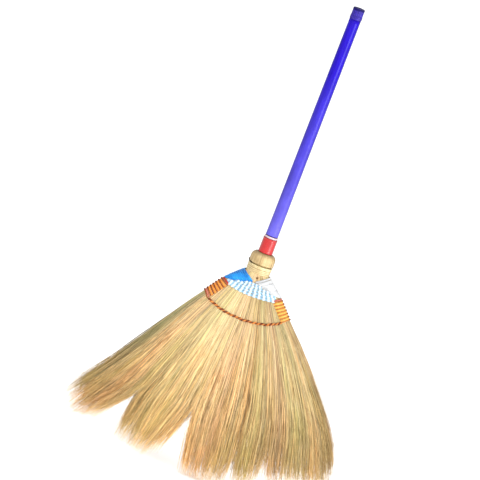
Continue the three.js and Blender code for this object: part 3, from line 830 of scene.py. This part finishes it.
def wrap_turn(sign, share):
    """One turn round half of the stalks: share is 0 at the neck's point and 1 at the outer corner."""
    edge_z = WRAP_TOP + 1 + (WRAP_BOTTOM - 1.5 - WRAP_TOP) * share
    edge_x = float(half_width(sign * 1.0, edge_z))
    inner_x = WRAP_POINT[0] + WRAP_SPREAD[0] * share
    inner_z = WRAP_POINT[1] - WRAP_SPREAD[1] * share
    under = WRAP_TUCK * share / math.hypot(edge_x - inner_x, edge_z - inner_z)
    u = 1 - (1 + under) * np.linspace(1, 0, 26) ** 2
    x = inner_x + (edge_x - inner_x) * u
    z = inner_z + (edge_z - inner_z) * u
    s = np.minimum(1, x / half_width(sign * x, z))
    off = 2.0 + rng.normal(0, 0.12)
    dive = np.clip(0.15 + u / (0.02 + under), 0.15, 1)
    front = on_fan(sign * s, z, -1, off * dive)
    back = on_fan(sign * s, z, 1, off * dive)[::-1][1:]
    path = through(np.concatenate([front, back]), 90)
    return band(path, broad_side(path), 2.1, 0.8)


def add_wraps():
    """Blue twine round the left half of the stalks and white twine round the right half."""
    for colour, sign, look in (("blue", -1, AZURE), ("white", 1, WHITE)):
        shares = (np.arange(WRAP_TURNS) + rng.uniform(0.3, 0.6, WRAP_TURNS)) / WRAP_TURNS
        mesh = tube_mesh(f"{colour}_wrap", ([wrap_turn(sign, share) for share in shares], False))
        finish_piece(mesh, [look], f"{colour}_twine_wrap")


# The edge bindings' parts: their turns, half the twine's width, the node's ending and the slot.
EDGE_PARTS = {
    "red": ([0], 1.7, "red_loop", "red_twine"),
    "orange": ([1, 2, 3, 4, 5], 1.95, "orange_binding", "orange_twine"),
    "last": ([6], 1.7, "last_loop", "red_twine"),
}
EDGE_LOOKS = {
    "left": {"red": RED, "orange": ORANGE, "last": PINK, "groove": RUST},
    "right": {"red": PINK, "orange": AMBER, "last": AMBER, "groove": TOFFEE},
}
# The first and last turn, on the left (-1) and the right (1): height at the outside, and degrees down
# from level.
EDGE_OUTER = {-1: (400.0, 366.5), 1: (400.0, 370.5)}
EDGE_SLOPE = {-1: (31.0, 53.0), 1: (31.0, 42.0)}
EDGE_LENGTH = 15.5  # from the fan's edge to where a turn goes in
LAST_TURN = 6
KNOT_R = 2.1


def between(pair, turn):
    """A value that goes evenly from the first turn's to the last turn's."""
    return pair[0] + (pair[1] - pair[0]) * turn / LAST_TURN


def edge_turn(sign, turn, off):
    """Twine round the fan's outer edge and back through the straw: turn counts from 0 to 6."""
    outer_z = between(EDGE_OUTER[sign], turn)
    slope = math.radians(between(EDGE_SLOPE[sign], turn))
    inner_z = outer_z - EDGE_LENGTH * math.sin(slope)
    inner_x = float(half_width(sign * 1.0, outer_z)) - EDGE_LENGTH * math.cos(slope)
    inner_s = inner_x / float(half_width(sign * 1.0, inner_z))
    n = float(squareness(inner_z))
    widest = math.acos(inner_s ** (n / 2))
    angle = np.linspace(-widest, widest, 31)
    s = np.cos(angle) ** (2 / n)
    z = outer_z + (inner_z - outer_z) * (1 - s) / (1 - inner_s)
    round_edge = on_fan(sign * s, z, np.sign(angle), off)
    points = np.concatenate([round_edge, through_straw(sign * inner_s, inner_z, off, 1)])
    return through(points, 110, closed=True)


def knot(place):
    """A small lump where twine crosses itself at the fan's edge."""
    t = np.linspace(-1, 1, 7)
    path = np.array(place) + np.stack([t * 0, t * KNOT_R, t * 0], axis=1)
    radius = KNOT_R * np.sqrt(np.maximum(0.02, 1 - t**2))
    return band(path, UP, radius, radius, flat=1.0)


def add_edges():
    """Turns of broad twine with thin dark twine between them, and a knot at the outside of each."""
    for side, sign in (("left", -1), ("right", 1)):
        looks = EDGE_LOOKS[side]
        for kind, (turns, half, ending, slot) in EDGE_PARTS.items():
            broad, thin, knots = [], [], []
            for turn in turns:
                path = edge_turn(sign, turn, 1.5 + rng.normal(0, 0.1))
                broad.append(band(path, broad_side(path), half, 0.9, closed=True))
                groove = edge_turn(sign, turn + 0.5, 1.2)
                thin.append(band(groove, broad_side(groove), 0.95, 0.8, closed=True, flat=1.0))
                groove_z = between(EDGE_OUTER[sign], turn + 0.5)
                knots.append(knot(on_fan(sign * 1.0, groove_z, 0, 2.2)))
            mesh = tube_mesh(f"{side}_edge_{kind}", (broad, True), (thin, True), (knots, False))
            finish_piece(mesh, [looks[kind], looks["groove"], BROWN], f"{side}_edge_{ending}")


STITCH_HEIGHTS = (351, 335.6, 357)
STITCH_ENDS = (-0.755, 0.775)
STITCH_PITCH = 9.4  # the length that the two cords take to go once round each other
STITCH_OFF = 1.4


def add_stitches():
    """Two uneven cords twisted about each other across the fan."""
    for name, turn, radius, look in (("orange", 0.0, 1.5, TAWNY), ("brown", math.pi, 1.6, BROWN)):
        path = row_path(STITCH_HEIGHTS, *STITCH_ENDS, lambda s: STITCH_OFF, 900)
        tangent = tangents_of(path, True)
        wide = broad_side(path)
        normal = unit(np.cross(tangent, wide))
        along = np.concatenate([[0], np.cumsum(np.linalg.norm(np.diff(path, axis=0), axis=1))])
        angle = 2 * math.pi * along / STITCH_PITCH + turn
        uneven = 1 + 0.25 * np.sin(along / 3.1 + 2 * np.sin(along / 11.0) + turn)
        twist = 1.05 * (np.cos(angle)[:, None] * normal + np.sin(angle)[:, None] * wide)
        path = path + twist * uneven[:, None]
        grid = round_cord(path, wide, radius * uneven, closed=True)
        mesh = tube_mesh(f"stitch_{name}", ([grid], True))
        finish_piece(mesh, [look], f"stitch_cord_{name}")


# ---- The neck ---------------------------------------------------------------------------------

INNER_R = 22.0  # under the rattan, where the stalks fill the neck
BORE_R = SLEEVE_R - 1.0  # the bore of the collar, the ring and the ferrule


def arc(centre, radius, start, end, count):
    """Points of an elliptical arc in the (radius, height) plane, angles in degrees."""
    angle = np.radians(np.linspace(start, end, count))
    return list(zip(centre[0] + radius[0] * np.cos(angle), centre[1] + radius[1] * np.sin(angle)))


def add_collar():
    """Leaf folded over the stalk butts: upright sides and a rounded shoulder, with fine folds."""
    wide, tall = 10.2, 12.0  # the shoulder's
    shoulder = arc((NECK_R - wide, COLLAR_TOP - tall), (wide, tall), 0, 90, 14)
    profile = [
        (INNER_R, COLLAR_BOTTOM), (NECK_R - 1.2, COLLAR_BOTTOM), (NECK_R - 0.3, COLLAR_BOTTOM + 0.4),
        (NECK_R, COLLAR_BOTTOM + 1.4), (NECK_R, COLLAR_BOTTOM + 6), *shoulder,
        (BORE_R, COLLAR_TOP), (BORE_R, COLLAR_TOP - 6), (INNER_R, COLLAR_TOP - 6.5),
    ]
    around = 360
    fibres = rng.normal(0, 1, around)
    fibres = 0.6 * fibres + 0.4 * np.roll(fibres, 1)
    turn = np.linspace(0, 2 * math.pi, around)
    folds = sum(rng.normal(0, 0.16) * np.cos(k * turn) for k in range(5, 19))

    def ripple(radius, height, angle):
        outside = (radius > BORE_R + 1) & (height > COLLAR_BOTTOM + 0.2)
        return np.where(outside, 0.09 * fibres + 0.3 * folds - 0.35, 0)

    mesh = tube_mesh("collar", ([turned(profile, around, ripple)], True))
    finish_piece(mesh, [COLLAR], "neck_collar")


def add_winding():
    """Five close turns of split rattan, each one a rib with its own small slack."""
    turns = 5
    around = 180
    pitch = (WINDING_TOP - WINDING_BOTTOM) / turns
    grids = []
    for turn in range(turns):
        middle = WINDING_BOTTOM + pitch * (turn + 0.5)
        r = NECK_R - 1.3 + 0.8 * turn / turns
        section = arc((r - 1.2, middle), (1.5, pitch * 0.51), -90, 90, 9)
        profile = [(INNER_R, middle - pitch * 0.45), *section, (INNER_R, middle + pitch * 0.45)]
        slack = rng.uniform(0, 2 * math.pi, 3)

        def ripple(radius, height, angle, slack=slack):
            wave = 0.12 * np.sin(3 * angle + slack[0]) + 0.08 * np.sin(7 * angle + slack[1])
            return np.where(radius > INNER_R + 0.6, wave, 0)

        grid = turned(profile, around, ripple)
        grid[:, :, 2] += 0.25 * np.sin(full_turn(around) + slack[2])
        grids.append(grid)
    mesh = tube_mesh("neck_binding", (grids, True))
    finish_piece(mesh, [WINDING], "neck_winding")


def add_wire():
    """A thin ring in the groove, with its two ends twisted together on the left."""
    angle = full_turn(240)
    r = NECK_R - 1.0
    height = WIRE_Z + 0.15 * np.sin(3 * angle)
    ring = np.stack([r * np.sin(angle), -r * np.cos(angle), height], axis=1)
    twisted = []
    for start in (0, math.pi):
        t = np.linspace(0, 1, 90)
        a = np.radians(-94 + 52 * t)
        turn = start + 8 * math.pi * t
        r_here = NECK_R - 0.4 + 0.7 * np.cos(turn)
        z_here = WIRE_Z + 4.2 * (1 - t) ** 1.6 + 0.7 * np.sin(turn)
        path = np.stack([r_here * np.sin(a), -r_here * np.cos(a), z_here], axis=1)
        twisted.append(round_cord(path, UP, 0.9 - 0.35 * t))
    mesh = tube_mesh("wire", ([round_cord(ring, UP, 0.45, closed=True)], True), (twisted, False))
    finish_piece(mesh, [OLIVE, STEEL], "neck_wire")


# ---- The handle -------------------------------------------------------------------------------

HANDLE_SIDES = 96


def second_material(mesh, around, chosen):
    """Gives the mesh's second material to the rows of faces that chosen picks."""
    rows = np.arange(len(mesh.polygons)) // around
    mesh.polygons.foreach_set("material_index", chosen(rows).astype(np.int32))


def add_sleeve():
    """Film on the pole: it tapers upwards, and its cut lower edge is dark."""
    wall = 1.2
    top_r = SLEEVE_R - 1.0
    edge_heights = [SLEEVE_BOTTOM + 0.4, SLEEVE_BOTTOM + 1.5]
    heights = np.concatenate([edge_heights, np.linspace(SLEEVE_BOTTOM + 1.6, SLEEVE_TOP, 60)])
    radii = np.interp(heights, [SLEEVE_BOTTOM, SLEEVE_TOP], [SLEEVE_R, top_r])
    profile = [
        (SLEEVE_R - wall, SLEEVE_BOTTOM), (SLEEVE_R - 0.3, SLEEVE_BOTTOM), *zip(radii, heights),
        (top_r - wall, SLEEVE_TOP),
    ]
    phase = rng.uniform(0, 2 * math.pi, 4)

    def ripple(radius, height, angle):
        slow = 0.05 * np.sin(3 * angle + height / 90 + phase[0])
        quick = 0.03 * np.sin(5 * angle - height / 55 + phase[1])
        return slow + quick - 0.05

    mesh = tube_mesh("sleeve", ([turned(profile, HANDLE_SIDES, ripple)], True))
    second_material(mesh, HANDLE_SIDES, lambda rows: rows < 3)  # the cut edge
    finish_piece(mesh, [BLUE_FILM, NAVY_EDGE], "handle_sleeve")


def add_cap():
    """The end cap: a lip at its mouth, flutes up its side, a dark rim and a flat top."""
    flutes = 16
    around = 12 * flutes
    side = CAP_R - 0.35
    lip_top = CAP_BOTTOM + 7.6
    axis = 0.05  # the middle of the flat top is closed down to this radius
    profile = [
        (side - 1.8, CAP_BOTTOM), (side + 0.1, CAP_BOTTOM), (side + 0.35, CAP_BOTTOM + 0.4),
        (side + 0.35, lip_top - 0.8), (side + 0.1, lip_top - 0.1), (side - 0.2, lip_top),
        (side - 0.2, lip_top + 1.2), (side - 0.2, HANDLE_TOP - 4.6), (side - 0.15, HANDLE_TOP - 3.6),
        *arc((side - 1.7, HANDLE_TOP - 1.7), (1.6, 1.7), 0, 90, 6), (side - 4.5, HANDLE_TOP),
        (axis, HANDLE_TOP), (axis, HANDLE_TOP - 2.6), (side - 1.8, HANDLE_TOP - 2.6),
    ]

    def ripple(radius, height, angle):
        fluted = (height > lip_top + 1) & (height < HANDLE_TOP - 4) & (radius > side - 1)
        groove = np.maximum(0, np.cos(flutes * angle)) ** 2
        return np.where(fluted, -0.75 * groove, 0)

    mesh = tube_mesh("end_cap", ([turned(profile, around, ripple)], True))
    second_material(mesh, around, lambda rows: rows > 6)  # the rim and the top, past the flutes
    finish_piece(mesh, [CAP_PLASTIC, NAVY_EDGE], "handle_end_cap")


def add_bands():
    """The white ring, and the red ferrule with a rolled top edge."""
    middle = (RING_BOTTOM + RING_TOP) / 2
    tall = (RING_TOP - RING_BOTTOM) / 2
    section = arc((RING_R - 1.4, middle), (1.4, tall), -90, 90, 9)
    ring = [(BORE_R, RING_BOTTOM), *section, (BORE_R, RING_TOP)]
    mesh = tube_mesh("ring", ([turned(ring, HANDLE_SIDES)], True))
    finish_piece(mesh, [WHITE_PLASTIC], "white_ring")
    phase = rng.uniform(0, 2 * math.pi, 2)

    def ripple(radius, height, angle):
        wave = 0.08 * np.sin(4 * angle + phase[0] + height / 9) + 0.05 * np.sin(9 * angle + phase[1])
        return np.where(radius > BORE_R + 1, wave - 0.12, 0)

    heights = np.linspace(FERRULE_BOTTOM + 1.2, FERRULE_TOP - 1.6, 14)
    rolled = arc((FERRULE_R - 0.7, FERRULE_TOP - 0.8), (0.75, 0.8), -40, 90, 6)
    ferrule = [
        (BORE_R, FERRULE_BOTTOM), (FERRULE_R - 0.8, FERRULE_BOTTOM),
        (FERRULE_R - 0.3, FERRULE_BOTTOM + 0.5), *[(FERRULE_R - 0.25, height) for height in heights],
        *rolled, (BORE_R, FERRULE_TOP),
    ]
    mesh = tube_mesh("ferrule", ([turned(ferrule, HANDLE_SIDES, ripple)], True))
    finish_piece(mesh, [RED_FILM], "red_ferrule")


def repaint(nodes, look):
    """CAD pieces that keep their shape and only take a better material."""
    for name in nodes:
        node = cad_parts[name]
        node.data.materials.clear()
        node.data.materials.append(look)


# ---- Stage ------------------------------------------------------------------------------------

VIEW_ELEVATION = math.radians(10)
HANDLE_LEAN = math.radians(21.1)
AIM = Vector((-0.0556, 0, 0.4813))  # what the camera and the lights look at, in metres
SEEN_WIDTH = 0.9504  # metres across the picture at the broom
LENS, SENSOR = 800.0, 36.0


def add_camera():
    """A long lens, so the view is all but parallel, rolled by the handle's lean."""
    camera = new_object("camera", bpy.data.cameras.new("camera"))
    camera.data.lens = LENS
    camera.data.sensor_width = SENSOR
    back = Vector((0, -math.cos(VIEW_ELEVATION), math.sin(VIEW_ELEVATION)))
    camera.rotation_mode = "QUATERNION"
    upright = (-back).to_track_quat("-Z", "Y")
    camera.rotation_quaternion = upright @ Quaternion((0, 0, 1), HANDLE_LEAN)
    camera.location = AIM + back * (SEEN_WIDTH * LENS / SENSOR)
    camera.data.clip_end = 100
    bpy.context.scene.camera = camera


def add_light(name, azimuth, elevation, distance, size, power):
    """A soft square light that looks at AIM."""
    light = new_object(name, bpy.data.lights.new(name, "AREA"))
    light.data.size = size
    light.data.energy = power
    a, e = math.radians(azimuth), math.radians(elevation)
    back = Vector((math.sin(a) * math.cos(e), -math.cos(a) * math.cos(e), math.sin(e)))
    light.location = AIM + back * distance
    light.rotation_mode = "QUATERNION"
    light.rotation_quaternion = back.to_track_quat("Z", "Y")


def add_overhead():
    """Broad light straight down, which keeps the whole floor evenly pale."""
    light = new_object("overhead", bpy.data.lights.new("overhead", "SUN"))
    light.data.energy = 3.0
    light.data.angle = math.radians(150)


def add_floor():
    """A pale floor, far larger than the picture."""
    far = 30.0
    mesh = bpy.data.meshes.new("floor")
    corners = [(-far, -far, 0), (far, -far, 0), (far, far, 0), (-far, far, 0)]
    mesh.from_pydata(corners, [], [(0, 1, 2, 3)])
    look = Look("floor", 0.9, Specular_IOR_Level=0.1)
    grain = look.noise((3, 3, 3))
    look.colour(look.ramp(grain, (0.3, (0.93,) * 3), (0.7, (0.95,) * 3)))
    mesh.materials.append(look.material)
    floor = new_object("floor", mesh)


def add_stage():
    """The floor, the lights and the camera."""
    world = bpy.data.worlds.new("studio")
    world.use_nodes = True
    background = world.node_tree.nodes["Background"]
    background.inputs["Color"].default_value = (1, 1, 1, 1)
    background.inputs["Strength"].default_value = 0.4
    bpy.context.scene.world = world
    bpy.context.scene.view_settings.view_transform = "Standard"
    add_floor()
    add_overhead()
    add_light("key", azimuth=52, elevation=3, distance=3.2, size=0.7, power=84)
    add_light("fill", azimuth=-15, elevation=20, distance=3.5, size=2.0, power=36)
    add_camera()


add_straw()
add_weave()
add_wraps()
add_edges()
add_stitches()
add_collar()
add_winding()
add_wire()
add_sleeve()
add_cap()
add_bands()
repaint(["handle_core"], WOOD)
repaint(["neck_nail_front", "neck_nail_back"], NAIL)
add_stage()
